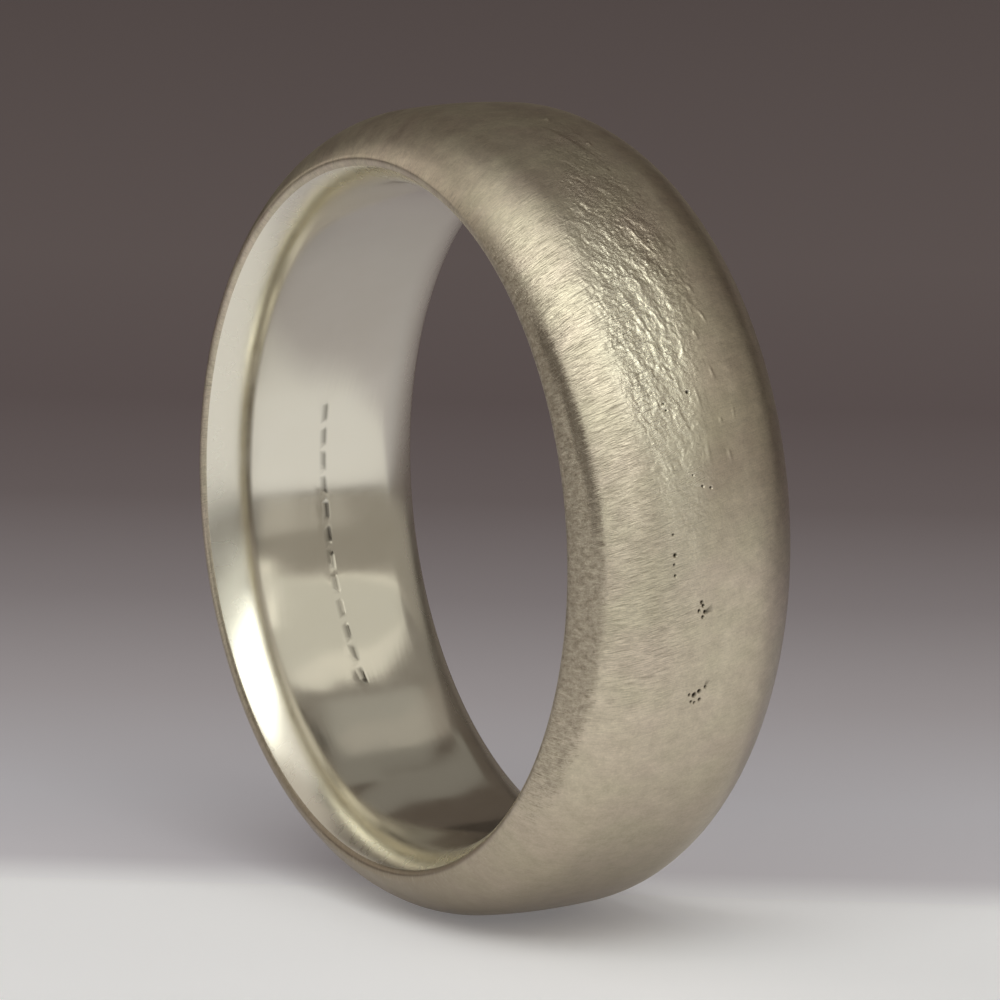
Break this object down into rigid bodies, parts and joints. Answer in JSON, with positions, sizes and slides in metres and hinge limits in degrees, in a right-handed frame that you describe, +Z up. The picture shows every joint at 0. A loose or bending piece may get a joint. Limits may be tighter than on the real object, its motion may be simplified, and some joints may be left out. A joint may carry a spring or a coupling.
{
  "type": "wedding band",
  "caption": "Wide court-profile wedding band, cast in one piece, with a soft textured outside and a polished comfort-fit bore.",
  "frame": {"origin": "middle of the finger bore, halfway across the band's width", "axes": "+Y along the bore axis, +Z up with the ring standing on its edge"},
  "size_m": [0.0226, 0.007, 0.0226],
  "materials": {
    "satin_white_gold": "satin outside, polished bore"
  },
  "bodies": {
    "root": {"band": "satin_white_gold"}
  },
  "joints": []
}
